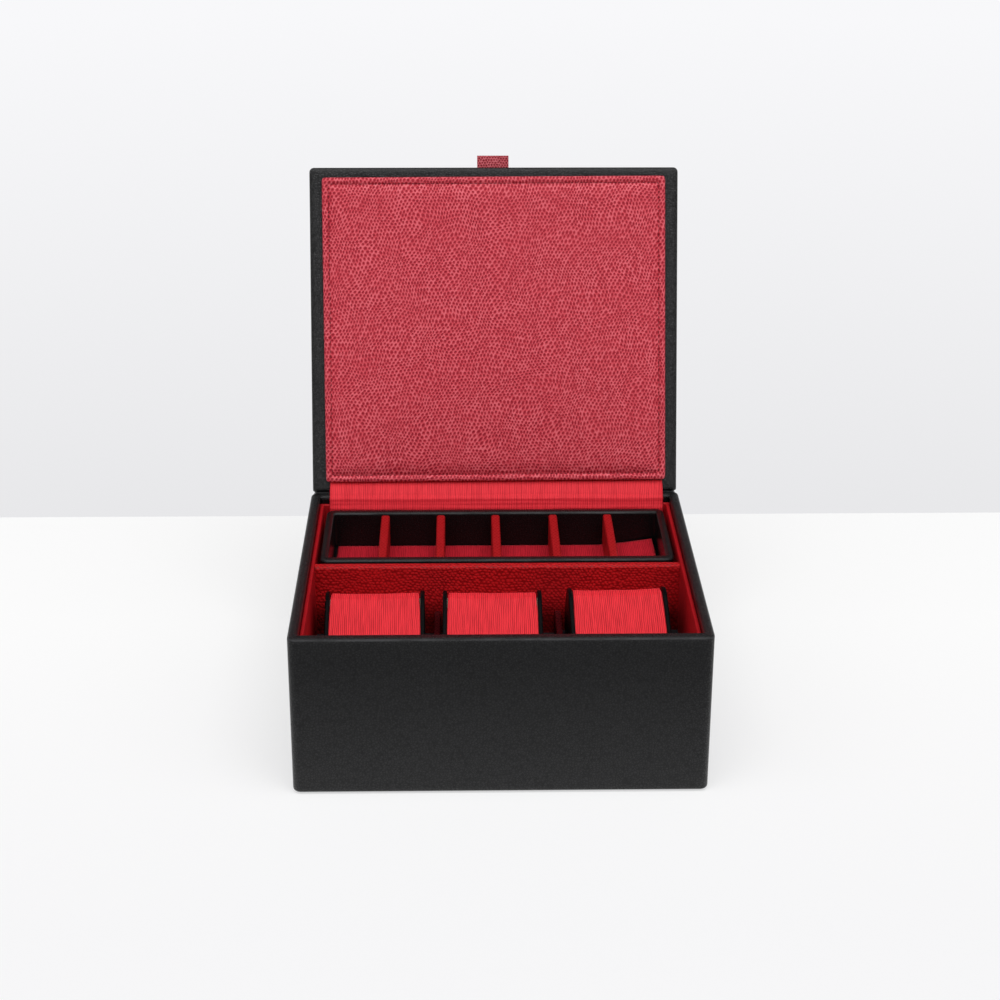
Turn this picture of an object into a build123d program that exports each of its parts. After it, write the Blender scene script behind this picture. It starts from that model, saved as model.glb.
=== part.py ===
"""Leather-covered watch and cufflink box, shown open.

The origin is the centre of the underside, +X is the right-hand side, +Y the hinge side and +Z up.
The lid is modelled resting open on its hinge strip.
"""
import math
import os

from build123d import *

os.makedirs("parts", exist_ok=True)

# Closed case without the lid
case_width = 200.9
case_depth = 177.5
case_height = 83.5
corner_radius = 4.0
base_edge_radius = 1.6
leather = 1.0
turn_in = 0.8
wall_board = 4.0
base_board_thickness = 4.0
base_cover_sheet = 0.6
rim_radius = 1.3
inner_rim_radius = 0.9
turn_in_depth = 14.0
under_turn_in = 15.0

# Red linings inside the case
liner = 2.0
liner_drop = 4.5
floor_thickness = 1.5
edge_round = 0.7

# Cross divider between the watch bays and the cufflink tray
divider_front = 4.5
divider_thickness = 5.0
divider_drop = 6.0
divider_leather = 0.9

# Low partitions between the watch bays
partition_x = 31.0
partition_thickness = 3.2
partition_top = 52.0

# Watch cushions: a rounded block on its side, leaning back. Each place has the cushion's x,
# the angle it is turned by and how far its rest is raised.
cushion_length = 58.0
cushion_thickness = 36.0
cushion_radius = 12.0
cushion_tilt = 28.0
cushion_y = -27.1
cushion_z = 46.6
sleeve_width = 45.4
end_board = 2.2
end_inset = 1.3
mid_inset = 0.3
shoulder = 5.5
core_inset = 4.0
cushion_places = {"left": (-61.9, 0.6, 0.0), "centre": (-3.1, 0.0, 0.0), "right": (60.2, 1.6, 1.3)}
rest_gap = 0.7

# Lift-out cufflink tray
tray_width = 183.0
tray_depth = 66.0
tray_y = 45.2
tray_rim = 77.7
tray_under = 54.8
tray_radius = 4.5
tray_side_wall = 4.0
tray_long_wall = 4.6
tray_edge_radius = 1.2
tray_leather = 0.8
tray_base_board = 2.0
lining = 0.9
cell_divider_thickness = 4.6
cell_divider_top = 76.1
cell_divider_x = [-59.6, -29.6, 0.0, 31.2, 60.8]
ledge_width = 7.0
ledge_height = 8.0
ledge_gap = 0.3

# Lid
open_angle = 107.8
lid_gap = 0.15
lid_width = 199.8
lid_length = 176.1
lid_thickness = 7.0
lid_corner_radius = 2.5
lid_hinge_corner_radius = 1.2
lid_edge_radius = 2.0
lid_turn_in = 18.0
pad_x = 0.2
pad_width = 185.8
pad_hinge_edge = 6.0
pad_front_edge = 171.0
pad_corner_radius = 2.0
pad_edge_radius = 1.2
pad_board = 1.5
pad_rise = 1.9
pad_crown = 0.5
pad_skin = 0.6
channel_inset = 3.0
channel_width = 1.2
tab_x = -0.5
tab_width = 17.0
tab_length = 6.5
tab_thickness = 1.6
tab_depth = 4.0

# Hinge
spine_width = 197.0
spine_thickness = 0.9
spine_overlap = 22.0
strip_x = 0.8
strip_width = 182.2
strip_thickness = 0.6
strip_low = 62.0

# Sizes worked out from the ones above
board_width = case_width - 2 * leather
board_depth = case_depth - 2 * leather
inner_width = board_width - 2 * wall_board
inner_depth = board_depth - 2 * wall_board
cover_low = base_cover_sheet
board_low = cover_low + leather
floor_low = board_low + base_board_thickness
floor_top = floor_low + floor_thickness
board_top = case_height - leather
well_half = inner_width / 2 - liner
well_front = -inner_depth / 2 + liner
well_rear = inner_depth / 2 - liner
liner_top = case_height - liner_drop
divider_rear = divider_front + divider_thickness
divider_top = case_height - divider_drop
hinge_y = case_depth / 2
hinge_z = case_height + lid_gap
lean = math.radians(open_angle - 90)
lid_plane = Plane(
    origin=(0, hinge_y, hinge_z),
    x_dir=(1, 0, 0),
    z_dir=(0, -math.cos(lean), math.sin(lean)),
)


def level(height):
    return Plane.XY.offset(height)


def save(piece, name):
    piece.part.label = name
    export_step(piece.part, f"parts/{name}.step")


# Wooden carcass: a base board and four mitred walls, rebated inside the rim for the leather
with BuildPart() as base_board:
    with BuildSketch(level(board_low)):
        RectangleRounded(board_width, board_depth, corner_radius - leather)
    extrude(amount=base_board_thickness)
    fillet(base_board.faces().sort_by(Axis.Z)[0].edges(), base_edge_radius - leather)
save(base_board, "base_board")

mitre = 20.0
reach_x = board_width / 2 + mitre
reach_y = board_depth / 2 + mitre
near_x = board_width / 2 - mitre
near_y = board_depth / 2 - mitre
wall_sectors = {
    "front_wall": [(-reach_x, -reach_y), (reach_x, -reach_y), (near_x, -near_y), (-near_x, -near_y)],
    "rear_wall": [(reach_x, reach_y), (-reach_x, reach_y), (-near_x, near_y), (near_x, near_y)],
    "left_wall": [(-reach_x, reach_y), (-reach_x, -reach_y), (-near_x, -near_y), (-near_x, near_y)],
    "right_wall": [(reach_x, -reach_y), (reach_x, reach_y), (near_x, near_y), (near_x, -near_y)],
}
carcass = [base_board.part]
for wall_name, sector in wall_sectors.items():
    with BuildPart() as wall:
        with BuildSketch(level(floor_low)):
            RectangleRounded(board_width, board_depth, corner_radius - leather)
        extrude(amount=board_top - floor_low)
        fillet(wall.faces().sort_by(Axis.Z)[-1].edges(), rim_radius - leather)
        with BuildSketch(level(floor_low)):
            Rectangle(inner_width, inner_depth)
        extrude(amount=board_top - floor_low, mode=Mode.SUBTRACT)
        with BuildSketch(level(board_top - turn_in_depth)):
            Rectangle(inner_width + 2 * turn_in, inner_depth + 2 * turn_in)
        extrude(amount=turn_in_depth, mode=Mode.SUBTRACT)
        with BuildSketch(level(floor_low)):
            with BuildLine():
                Polyline(*sector, close=True)
            make_face()
        extrude(amount=board_top - floor_low, mode=Mode.INTERSECT)
    save(wall, wall_name)
    carcass.append(wall.part)

# Leather over the outside, over the rim, down inside it and a little way in under the base
with BuildPart() as case_cover:
    with BuildSketch(level(cover_low)):
        RectangleRounded(case_width, case_depth, corner_radius)
    extrude(amount=case_height - cover_low)
    fillet(case_cover.faces().sort_by(Axis.Z)[-1].edges(), rim_radius)
    fillet(case_cover.faces().sort_by(Axis.Z)[0].edges(), base_edge_radius)
    with BuildSketch(level(floor_low)):
        Rectangle(inner_width, inner_depth)
    extrude(amount=case_height, mode=Mode.SUBTRACT)
    rim_top = case_cover.faces().filter_by(Plane.XY).sort_by(Axis.Z)[-1]
    fillet(rim_top.inner_wires()[0].edges(), inner_rim_radius)
    for board in carcass:
        add(board, mode=Mode.SUBTRACT)
    with BuildSketch(level(cover_low)):
        RectangleRounded(case_width - 2 * under_turn_in, case_depth - 2 * under_turn_in, corner_radius)
    extrude(amount=leather, mode=Mode.SUBTRACT)
save(case_cover, "case_cover")

# Sheet that the box stands on, filled out to the base board between the turned-in leather
with BuildPart() as base_cover:
    with BuildSketch():
        RectangleRounded(case_width - 2 * corner_radius, case_depth - 2 * corner_radius, corner_radius)
    extrude(amount=base_cover_sheet)
    with BuildSketch(level(base_cover_sheet)):
        RectangleRounded(case_width - 2 * under_turn_in, case_depth - 2 * under_turn_in, corner_radius)
    extrude(amount=leather)
save(base_cover, "base_cover")

# Silk-faced liner boards: name to centre x, centre y, length along x, length along y
liner_boards = {
    "front_liner": (0, well_front - liner / 2, inner_width, liner),
    "rear_liner": (0, well_rear + liner / 2, inner_width, liner),
    "left_liner": (-well_half - liner / 2, 0, liner, well_rear - well_front),
    "right_liner": (well_half + liner / 2, 0, liner, well_rear - well_front),
}
for liner_name, (x, y, along_x, along_y) in liner_boards.items():
    with BuildPart() as liner_board:
        with BuildSketch(level(floor_low)):
            with Locations((x, y)):
                Rectangle(along_x, along_y)
        extrude(amount=liner_top - floor_low)
        long_axis = Axis.X if along_x > along_y else Axis.Y
        top_edges = liner_board.faces().sort_by(Axis.Z)[-1].edges().filter_by(long_axis)
        fillet(top_edges, edge_round)
    save(liner_board, liner_name)

floor_boards = {
    "watch_floor": (well_front, divider_front),
    "storage_floor": (divider_rear, well_rear),
}
for floor_name, (y_front, y_rear) in floor_boards.items():
    with BuildPart() as floor_board:
        with BuildSketch(level(floor_low)):
            with Locations((0, (y_front + y_rear) / 2)):
                Rectangle(2 * well_half, y_rear - y_front)
        extrude(amount=floor_thickness)
    save(floor_board, floor_name)

# Cross divider: a board with lizard-grain leather folded over its top
divider_plane = Plane(origin=(-well_half, 0, 0), x_dir=(0, 1, 0), z_dir=(1, 0, 0))
divider_y = (divider_front + divider_rear) / 2
with BuildPart() as cross_divider:
    with BuildSketch(divider_plane):
        with Locations((divider_y, floor_low)):
            Rectangle(
                divider_thickness - 2 * divider_leather,
                divider_top - divider_leather - floor_low,
                align=(Align.CENTER, Align.MIN),
            )
    extrude(amount=2 * well_half)
    board_edges = cross_divider.faces().sort_by(Axis.Z)[-1].edges().filter_by(Axis.X)
    fillet(board_edges, edge_round)
save(cross_divider, "cross_divider")

with BuildPart() as divider_cover:
    with BuildSketch(divider_plane):
        with Locations((divider_y, floor_low)):
            Rectangle(divider_thickness, divider_top - floor_low, align=(Align.CENTER, Align.MIN))
    extrude(amount=2 * well_half)
    cover_edges = divider_cover.faces().sort_by(Axis.Z)[-1].edges().filter_by(Axis.X)
    fillet(cover_edges, edge_round + divider_leather)
    add(cross_divider.part, mode=Mode.SUBTRACT)
save(divider_cover, "divider_cover")

for side, x in (("left", -partition_x), ("right", partition_x)):
    with BuildPart() as partition:
        with BuildSketch(level(floor_top)):
            with Locations((x, (well_front + divider_front) / 2)):
                Rectangle(partition_thickness, divider_front - well_front)
        extrude(amount=partition_top - floor_top)
        fillet(partition.faces().sort_by(Axis.Z)[-1].edges().filter_by(Axis.Y), edge_round)
    save(partition, f"watch_partition_{side}")

# Sloped rests under the cushions. Lengths t run up the slope and n stands square to it.
tilt = math.radians(cushion_tilt)
slope_offset = cushion_thickness / 2 + rest_gap
corner_t = cushion_length / 2 - cushion_radius
corner_n = cushion_thickness / 2 - cushion_radius


def slope_z(y):
    """Height of the rest's sloping top at y."""
    return cushion_z + ((y - cushion_y) * math.sin(tilt) - slope_offset) / math.cos(tilt)


wedge_rear_flat = -1.0
groove_y = -41.0
toe_y = cushion_y - corner_t * math.cos(tilt) + corner_n * math.sin(tilt)
toe_z = cushion_z - corner_t * math.sin(tilt) - corner_n * math.cos(tilt)
toe_reach = (cushion_radius + rest_gap) * math.sqrt(2)
stop_top = 28.0
stop_front = -57.5


def stop_y(z):
    """Back of the stop at height z: a 45 degree face just clear of the cushion's rounded toe."""
    return toe_y - toe_reach + (toe_z - z)


bay_edge = partition_x - partition_thickness / 2
bays = {
    "left": (-well_half, -partition_x - partition_thickness / 2),
    "centre": (-bay_edge, bay_edge),
    "right": (partition_x + partition_thickness / 2, well_half),
}


def wedge_outline(rise):
    """Side view of a rest whose slope is raised by rise."""
    return [
        (divider_front, floor_top),
        (divider_front, slope_z(wedge_rear_flat) + rise),
        (wedge_rear_flat, slope_z(wedge_rear_flat) + rise),
        (groove_y, slope_z(groove_y) + rise),
        (groove_y, floor_top),
    ]


stop_outline = [
    (groove_y, floor_top),
    (groove_y, toe_y - toe_reach + toe_z - groove_y),
    (stop_y(stop_top), stop_top),
    (stop_front, stop_top),
    (stop_front, floor_top),
]
for bay, (x_low, x_high) in bays.items():
    bay_plane = Plane(origin=(x_low, 0, 0), x_dir=(0, 1, 0), z_dir=(1, 0, 0))
    rise = cushion_places[bay][2]
    for rest_name, outline in (("rest_wedge", wedge_outline(rise)), ("rest_stop", stop_outline)):
        with BuildPart() as rest:
            with BuildSketch(bay_plane):
                with BuildLine():
                    Polyline(*outline, close=True)
                make_face()
            extrude(amount=x_high - x_low)
        save(rest, f"{rest_name}_{bay}")

# Watch cushions: crowned silk sleeve on a core, between two leather-covered end boards
for place, (cushion_x, yaw, rise) in cushion_places.items():
    turn = math.radians(yaw)
    across = Vector(math.cos(turn), math.sin(turn), 0)
    up_slope = Vector(-math.sin(turn) * math.cos(tilt), math.cos(turn) * math.cos(tilt), math.sin(tilt))
    middle = Plane(origin=(cushion_x, cushion_y, cushion_z + rise), x_dir=up_slope, z_dir=across)

    with BuildPart() as core:
        with BuildSketch(middle.offset(-sleeve_width / 2)):
            RectangleRounded(
                cushion_length - 2 * core_inset,
                cushion_thickness - 2 * core_inset,
                cushion_radius - core_inset,
            )
        extrude(amount=sleeve_width)
    save(core, f"cushion_{place}_core")

    with BuildPart() as sleeve:
        crown_stations = [
            (-sleeve_width / 2, end_inset),
            (-sleeve_width / 2 + shoulder, mid_inset),
            (0, 0),
            (sleeve_width / 2 - shoulder, mid_inset),
            (sleeve_width / 2, end_inset),
        ]
        for station, inset in crown_stations:
            with BuildSketch(middle.offset(station)):
                RectangleRounded(
                    cushion_length - 2 * inset,
                    cushion_thickness - 2 * inset,
                    cushion_radius - inset,
                )
        loft()
        add(core.part, mode=Mode.SUBTRACT)
    save(sleeve, f"cushion_{place}_sleeve")

    for side, start in (("left", -sleeve_width / 2 - end_board), ("right", sleeve_width / 2)):
        with BuildPart() as end_piece:
            with BuildSketch(middle.offset(start)):
                RectangleRounded(cushion_length, cushion_thickness, cushion_radius)
            extrude(amount=end_board)
            rims = end_piece.edges().filter_by(lambda e: abs(e.tangent_at(0.5).dot(across)) < 0.5)
            fillet(rims, edge_round)
        save(end_piece, f"cushion_{place}_end_{side}")

# Ledges that carry the tray
ledge_top = tray_under - ledge_gap
for side, x in (("left", -well_half + ledge_width / 2), ("right", well_half - ledge_width / 2)):
    with BuildPart() as ledge:
        with BuildSketch(level(ledge_top - ledge_height)):
            with Locations((x, (divider_rear + well_rear) / 2)):
                Rectangle(ledge_width, well_rear - divider_rear)
        extrude(amount=ledge_height)
        top_face = ledge.faces().sort_by(Axis.Z)[-1]
        inner_edge = top_face.edges().filter_by(Axis.Y).sort_by(lambda e: abs(e.center().X))[0]
        fillet(inner_edge, edge_round)
    save(ledge, f"tray_ledge_{side}")

# Cufflink tray
tray_skin_low = tray_under + tray_leather
tray_board_low = tray_skin_low + tray_base_board
tray_board_top = tray_rim - tray_leather
tray_board_width = tray_width - 2 * tray_leather
tray_board_depth = tray_depth - 2 * tray_leather
cell_width = tray_width - 2 * tray_side_wall
cell_depth = tray_depth - 2 * tray_long_wall
lining_top = tray_board_low + lining


def tray_level(height):
    return Plane(origin=(0, tray_y, height))


with BuildPart() as tray_underside:
    with BuildSketch(tray_level(tray_under)):
        RectangleRounded(tray_width, tray_depth, tray_radius)
    extrude(amount=tray_leather)
    fillet(tray_underside.faces().sort_by(Axis.Z)[0].edges(), tray_leather / 2)
save(tray_underside, "tray_underside")

with BuildPart() as tray_base:
    with BuildSketch(tray_level(tray_skin_low)):
        RectangleRounded(tray_board_width, tray_board_depth, tray_radius - tray_leather)
    extrude(amount=tray_base_board)
save(tray_base, "tray_base")

tray_mitre = 10.0
far_x = tray_board_width / 2 + tray_mitre
far_y = tray_board_depth / 2 + tray_mitre
close_x = tray_board_width / 2 - tray_mitre
close_y = tray_board_depth / 2 - tray_mitre
tray_sectors = {
    "tray_front": [(-far_x, -far_y), (far_x, -far_y), (close_x, -close_y), (-close_x, -close_y)],
    "tray_rear": [(far_x, far_y), (-far_x, far_y), (-close_x, close_y), (close_x, close_y)],
    "tray_left": [(-far_x, far_y), (-far_x, -far_y), (-close_x, -close_y), (-close_x, close_y)],
    "tray_right": [(far_x, -far_y), (far_x, far_y), (close_x, close_y), (close_x, -close_y)],
}
tray_boards = [tray_base.part]
for board_name, sector in tray_sectors.items():
    with BuildPart() as tray_board:
        with BuildSketch(tray_level(tray_board_low)):
            RectangleRounded(tray_board_width, tray_board_depth, tray_radius - tray_leather)
            Rectangle(cell_width + 2 * tray_leather, cell_depth + 2 * tray_leather, mode=Mode.SUBTRACT)
            with BuildLine():
                Polyline(*sector, close=True)
            make_face(mode=Mode.INTERSECT)
        extrude(amount=tray_board_top - tray_board_low)
    save(tray_board, board_name)
    tray_boards.append(tray_board.part)

with BuildPart() as tray_cover:
    with BuildSketch(tray_level(tray_skin_low)):
        RectangleRounded(tray_width, tray_depth, tray_radius)
    extrude(amount=tray_rim - tray_skin_low)
    with BuildSketch(tray_level(tray_board_low)):
        RectangleRounded(cell_width, cell_depth, tray_edge_radius)
    extrude(amount=tray_rim, mode=Mode.SUBTRACT)
    fillet(tray_cover.faces().sort_by(Axis.Z)[-1].edges(), tray_edge_radius)
    for board in tray_boards:
        add(board, mode=Mode.SUBTRACT)
save(tray_cover, "tray_cover")

lining_play = 0.3
with BuildPart() as tray_lining:
    with BuildSketch(tray_level(tray_board_low)):
        RectangleRounded(cell_width - 2 * lining_play, cell_depth - 2 * lining_play, tray_edge_radius)
    extrude(amount=lining)
save(tray_lining, "tray_lining")

for number, x in enumerate(cell_divider_x, start=1):
    with BuildPart() as cell_divider:
        with BuildSketch(tray_level(lining_top)):
            with Locations((x, 0)):
                Rectangle(cell_divider_thickness, cell_depth)
        extrude(amount=cell_divider_top - lining_top)
        fillet(cell_divider.faces().sort_by(Axis.Z)[-1].edges().filter_by(Axis.Y), tray_edge_radius)
    save(cell_divider, f"cell_divider_{number}")

# Lid. On its plane x runs to the right, y from the hinge to the free edge, z towards the pad.
lid_face = -lid_gap
lid_back = lid_face - lid_thickness
lid_middle = lid_length / 2
tab_low = lid_face - tab_depth
opening_width = lid_width - 2 * lid_turn_in
opening_length = lid_length - 2 * lid_turn_in


def round_lid_corners(outline, inset):
    """Round an outline drawn in by inset: tight corners at the hinge, rounder at the free edge."""
    fillet(outline.vertices().group_by(Axis.Y)[-1], lid_corner_radius - inset)
    fillet(outline.vertices().group_by(Axis.Y)[0], lid_hinge_corner_radius - inset)


with BuildPart() as pull_tab:
    with BuildSketch(lid_plane.offset(tab_low)):
        with Locations((tab_x, lid_length)):
            Rectangle(tab_width, 2 * tab_length)
    extrude(amount=tab_thickness)
    tab_edges = pull_tab.edges().group_by(Axis.Z)[-1] + pull_tab.edges().group_by(Axis.Z)[-2]
    fillet(tab_edges.filter_by(Axis.X), tab_thickness / 2 - 0.1)
save(pull_tab, "pull_tab")

with BuildPart() as lid_board:
    with BuildSketch(lid_plane.offset(lid_back + leather)) as board_outline:
        with Locations((0, lid_middle)):
            Rectangle(lid_width - 2 * leather, lid_length - 2 * leather)
        round_lid_corners(board_outline, leather)
    extrude(amount=lid_thickness - 2 * leather)
    fillet(lid_board.edges().filter_by(lid_plane), lid_edge_radius - leather)
    add(pull_tab.part, mode=Mode.SUBTRACT)
save(lid_board, "lid_board")

with BuildPart() as lid_cover:
    with BuildSketch(lid_plane.offset(lid_back)) as cover_outline:
        with Locations((0, lid_middle)):
            Rectangle(lid_width, lid_length)
        round_lid_corners(cover_outline, 0)
    extrude(amount=lid_thickness)
    fillet(lid_cover.edges().filter_by(lid_plane), lid_edge_radius)
    add(lid_board.part, mode=Mode.SUBTRACT)
    add(pull_tab.part, mode=Mode.SUBTRACT)
    with BuildSketch(lid_plane.offset(lid_face)):
        with Locations((0, lid_middle)):
            RectangleRounded(opening_width, opening_length, corner_radius)
    extrude(amount=-leather, mode=Mode.SUBTRACT)
save(lid_cover, "lid_cover")

pad_length = pad_front_edge - pad_hinge_edge
pad_middle = (pad_front_edge + pad_hinge_edge) / 2
with BuildPart() as lid_pad_board:
    with BuildSketch(lid_plane.offset(lid_face)):
        with Locations((pad_x, pad_middle)):
            Rectangle(pad_width - 2 * pad_skin, pad_length - 2 * pad_skin)
    extrude(amount=pad_board)
    with BuildSketch(lid_plane.offset(lid_face)):
        with Locations((0, lid_middle)):
            RectangleRounded(opening_width, opening_length, corner_radius)
    extrude(amount=-leather)
save(lid_pad_board, "lid_pad_board")

# Padded lizard-grain leather: a rounded edge, a stitched channel and a low crown inside it
pad_edge_top = lid_face + pad_board + pad_rise
field_inset = channel_inset + channel_width
crown_inset = 16.0
with BuildPart() as lid_pad:
    with BuildSketch(lid_plane.offset(lid_face)):
        with Locations((pad_x, pad_middle)):
            RectangleRounded(pad_width, pad_length, pad_corner_radius)
    extrude(amount=pad_board + pad_rise)
    top_rim = lid_pad.faces().filter_by(lid_plane).sort_by(lid_plane.location.z_axis)[-1]
    fillet(top_rim.edges(), pad_edge_radius)
    with BuildSketch(lid_plane.offset(pad_edge_top - edge_round)):
        with Locations((pad_x, pad_middle)):
            Rectangle(pad_width - 2 * channel_inset, pad_length - 2 * channel_inset)
            Rectangle(pad_width - 2 * field_inset, pad_length - 2 * field_inset, mode=Mode.SUBTRACT)
    extrude(amount=edge_round, mode=Mode.SUBTRACT)
    for height, inset in ((pad_edge_top, field_inset), (pad_edge_top + pad_crown, crown_inset)):
        with BuildSketch(lid_plane.offset(height)):
            with Locations((pad_x, pad_middle)):
                Rectangle(pad_width - 2 * inset, pad_length - 2 * inset)
    loft()
    with BuildSketch(lid_plane.offset(lid_face)):
        with Locations((pad_x, pad_middle)):
            Rectangle(pad_width - 2 * pad_skin, pad_length - 2 * pad_skin)
    extrude(amount=pad_board, mode=Mode.SUBTRACT)
save(lid_pad, "lid_pad")


def on_lid(y, z):
    """A point of the lid's plane as (y, z) in the case's frame."""
    point = lid_plane.from_local_coords(Vector(0, y, z))
    return (point.Y, point.Z)


# Leather spine: down the rear wall, across the lid's hinge edge and up its back
spine_plane = Plane(origin=(-spine_width / 2, 0, 0), x_dir=(0, 1, 0), z_dir=(1, 0, 0))
with BuildPart() as hinge_spine:
    with BuildSketch(spine_plane):
        with BuildLine():
            Polyline(
                (hinge_y, case_height - spine_overlap),
                (hinge_y, hinge_z),
                on_lid(0, lid_back),
                on_lid(spine_overlap, lid_back),
            )
            offset(amount=spine_thickness, side=Side.RIGHT, kind=Kind.INTERSECTION)
        make_face()
    extrude(amount=spine_width)
save(hinge_spine, "hinge_spine")

# Silk strip: from under the pad, taut over the rim's inner edge, then down in front of the rear liner
strip_plane = Plane(origin=(strip_x - strip_width / 2, 0, 0), x_dir=(0, 1, 0), z_dir=(1, 0, 0))
rim_inner = inner_depth / 2
with BuildPart() as hinge_strip:
    with BuildSketch(strip_plane):
        with BuildLine():
            FilletPolyline(
                on_lid(pad_hinge_edge, lid_face + strip_thickness + 0.1),
                (rim_inner - strip_thickness, case_height + strip_thickness),
                (well_rear - strip_thickness, liner_top + strip_thickness),
                (well_rear - strip_thickness, strip_low),
                radius=1.5,
            )
            offset(amount=strip_thickness, side=Side.LEFT, kind=Kind.INTERSECTION)
        make_face()
    extrude(amount=strip_width)
save(hinge_strip, "hinge_strip")
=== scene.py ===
import math

import bpy
import numpy as np
from mathutils import Matrix, Vector, noise


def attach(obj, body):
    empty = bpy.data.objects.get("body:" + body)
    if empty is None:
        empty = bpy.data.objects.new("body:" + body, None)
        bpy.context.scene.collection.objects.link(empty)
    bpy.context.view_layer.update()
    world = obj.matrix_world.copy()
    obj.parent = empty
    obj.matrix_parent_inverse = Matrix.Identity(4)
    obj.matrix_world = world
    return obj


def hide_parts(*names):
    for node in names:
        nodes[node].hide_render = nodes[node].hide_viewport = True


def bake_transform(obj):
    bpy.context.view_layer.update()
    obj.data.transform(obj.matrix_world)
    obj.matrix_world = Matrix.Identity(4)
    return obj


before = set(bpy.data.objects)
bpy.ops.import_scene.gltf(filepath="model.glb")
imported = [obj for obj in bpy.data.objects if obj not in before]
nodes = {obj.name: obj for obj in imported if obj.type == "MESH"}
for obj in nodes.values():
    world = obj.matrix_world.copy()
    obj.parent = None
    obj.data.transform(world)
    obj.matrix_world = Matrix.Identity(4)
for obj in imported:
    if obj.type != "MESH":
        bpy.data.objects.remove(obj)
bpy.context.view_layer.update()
scene = bpy.context.scene
mm = 0.001
print("frame loaded with", len(nodes), "CAD nodes")

# The camera stands where the photograph was taken from: nearly square on, looking down into the box
cameraView = {
    "place": (-0.01821, -0.91986, 0.50589),
    "pan": 1.194,
    "tilt": 22.959,
    "roll": -0.195,
    "lens": 71.68,
}


def addObject(name, data):
    made = bpy.data.objects.new(name, data)
    scene.collection.objects.link(made)
    return made


def placeCamera(view):
    pan, tilt, roll = (math.radians(view[key]) for key in ("pan", "tilt", "roll"))
    ahead = Vector((math.sin(pan) * math.cos(tilt), math.cos(pan) * math.cos(tilt), -math.sin(tilt)))
    level = Vector((math.cos(pan), -math.sin(pan), 0))
    below = ahead.cross(level)
    right = math.cos(roll) * level + math.sin(roll) * below
    down = math.cos(roll) * below - math.sin(roll) * level
    data = bpy.data.cameras.new("camera")
    data.lens = view["lens"]
    data.sensor_width = 36
    data.clip_start = 0.05
    camera = addObject("camera", data)
    camera.matrix_world = Matrix.Translation(view["place"]) @ Matrix((right, -down, -ahead)).transposed().to_4x4()
    scene.camera = camera


placeCamera(cameraView)


def hexColour(code):
    parts = [int(code[i : i + 2], 16) / 255 for i in (1, 3, 5)]
    return (*(p / 12.92 if p <= 0.04045 else ((p + 0.055) / 1.055) ** 2.4 for p in parts), 1.0)


def feed(node, inputs):
    # From and To take a pair; a text stands for a colour, and a node for its first output in use
    for key, value in inputs.items():
        if key in ("From", "To"):
            feed(node, {key + " Min": value[0], key + " Max": value[1]})
            continue
        if isinstance(value, str):
            value = hexColour(value)
        elif isinstance(value, bpy.types.Node):
            value = next(socket for socket in value.outputs if socket.enabled)
        if isinstance(value, bpy.types.NodeSocket):
            node.id_data.links.new(value, node.inputs[key])
        else:
            node.inputs[key].default_value = value


def nodeAdder(tree):
    # the function that adds a node to this tree; a shader node's kind is given without its prefix
    def add(kind, inputs=None, **settings):
        node = tree.nodes.new(kind if "Node" in kind else "ShaderNode" + kind)
        for name, value in settings.items():
            setattr(node, name, value)
        feed(node, inputs or {})
        return node

    return add


def startMaterial(name, shaderValues):
    material = bpy.data.materials.new(name)
    material.use_nodes = True
    material.node_tree.nodes.clear()
    add = nodeAdder(material.node_tree)
    shader = add("BsdfPrincipled", shaderValues)
    add("OutputMaterial", {"Surface": shader})
    return material, add, shader


def inMillimetres(add, clothMap=None):
    # a place on the piece in millimetres, from its own cloth map or from the frame
    if clothMap:
        source = add("UVMap", uv_map=clothMap)
    else:
        source = add("TexCoord").outputs["Object"]
    return add("VectorMath", {0: source, "Scale": 1000.0}, operation="SCALE")


# Full-grain calf, dyed black and lightly pigmented: a faint pebble grain and fine creases under a satin shine
calf = {
    "grain": 1.3,  # mm across a pebble
    "grainDepth": 0.09,
    "dome": 0.32,  # how soon a pebble is at its full height
    "sway": 1.6,  # mm that the pebbles stray from even
    "wrinkle": 5.0,  # mm between creases, which run level
    "wrinkleDepth": 0.07,
    "poreDepth": 0.02,
    "edgeRound": 3.4,  # mm over which the leather eases round an edge
    "dark": "#0b0b0c",
    "light": "#121214",
    "shine": (0.21, 0.33),  # roughness, from pore to pore
    "polish": (0.42, 0.22),  # at the table, and where it is dulled
    "crest": (0.68, 1.08),  # share of the polish between the pebbles, and on them
    "dulledAt": 70.0,  # mm above the table
    # the rims' rounded edges get a pale painted band, a painted highlight: its colour, the heights it runs between
    # and its share
    "paintedLight": "#6a6a6c",
    "paintedLightFrom": 82.1,  # mm above the table, where the rim starts to turn over
    "paintedLightTo": 83.4,
    "paintedLightShare": 0.26,
}


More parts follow.
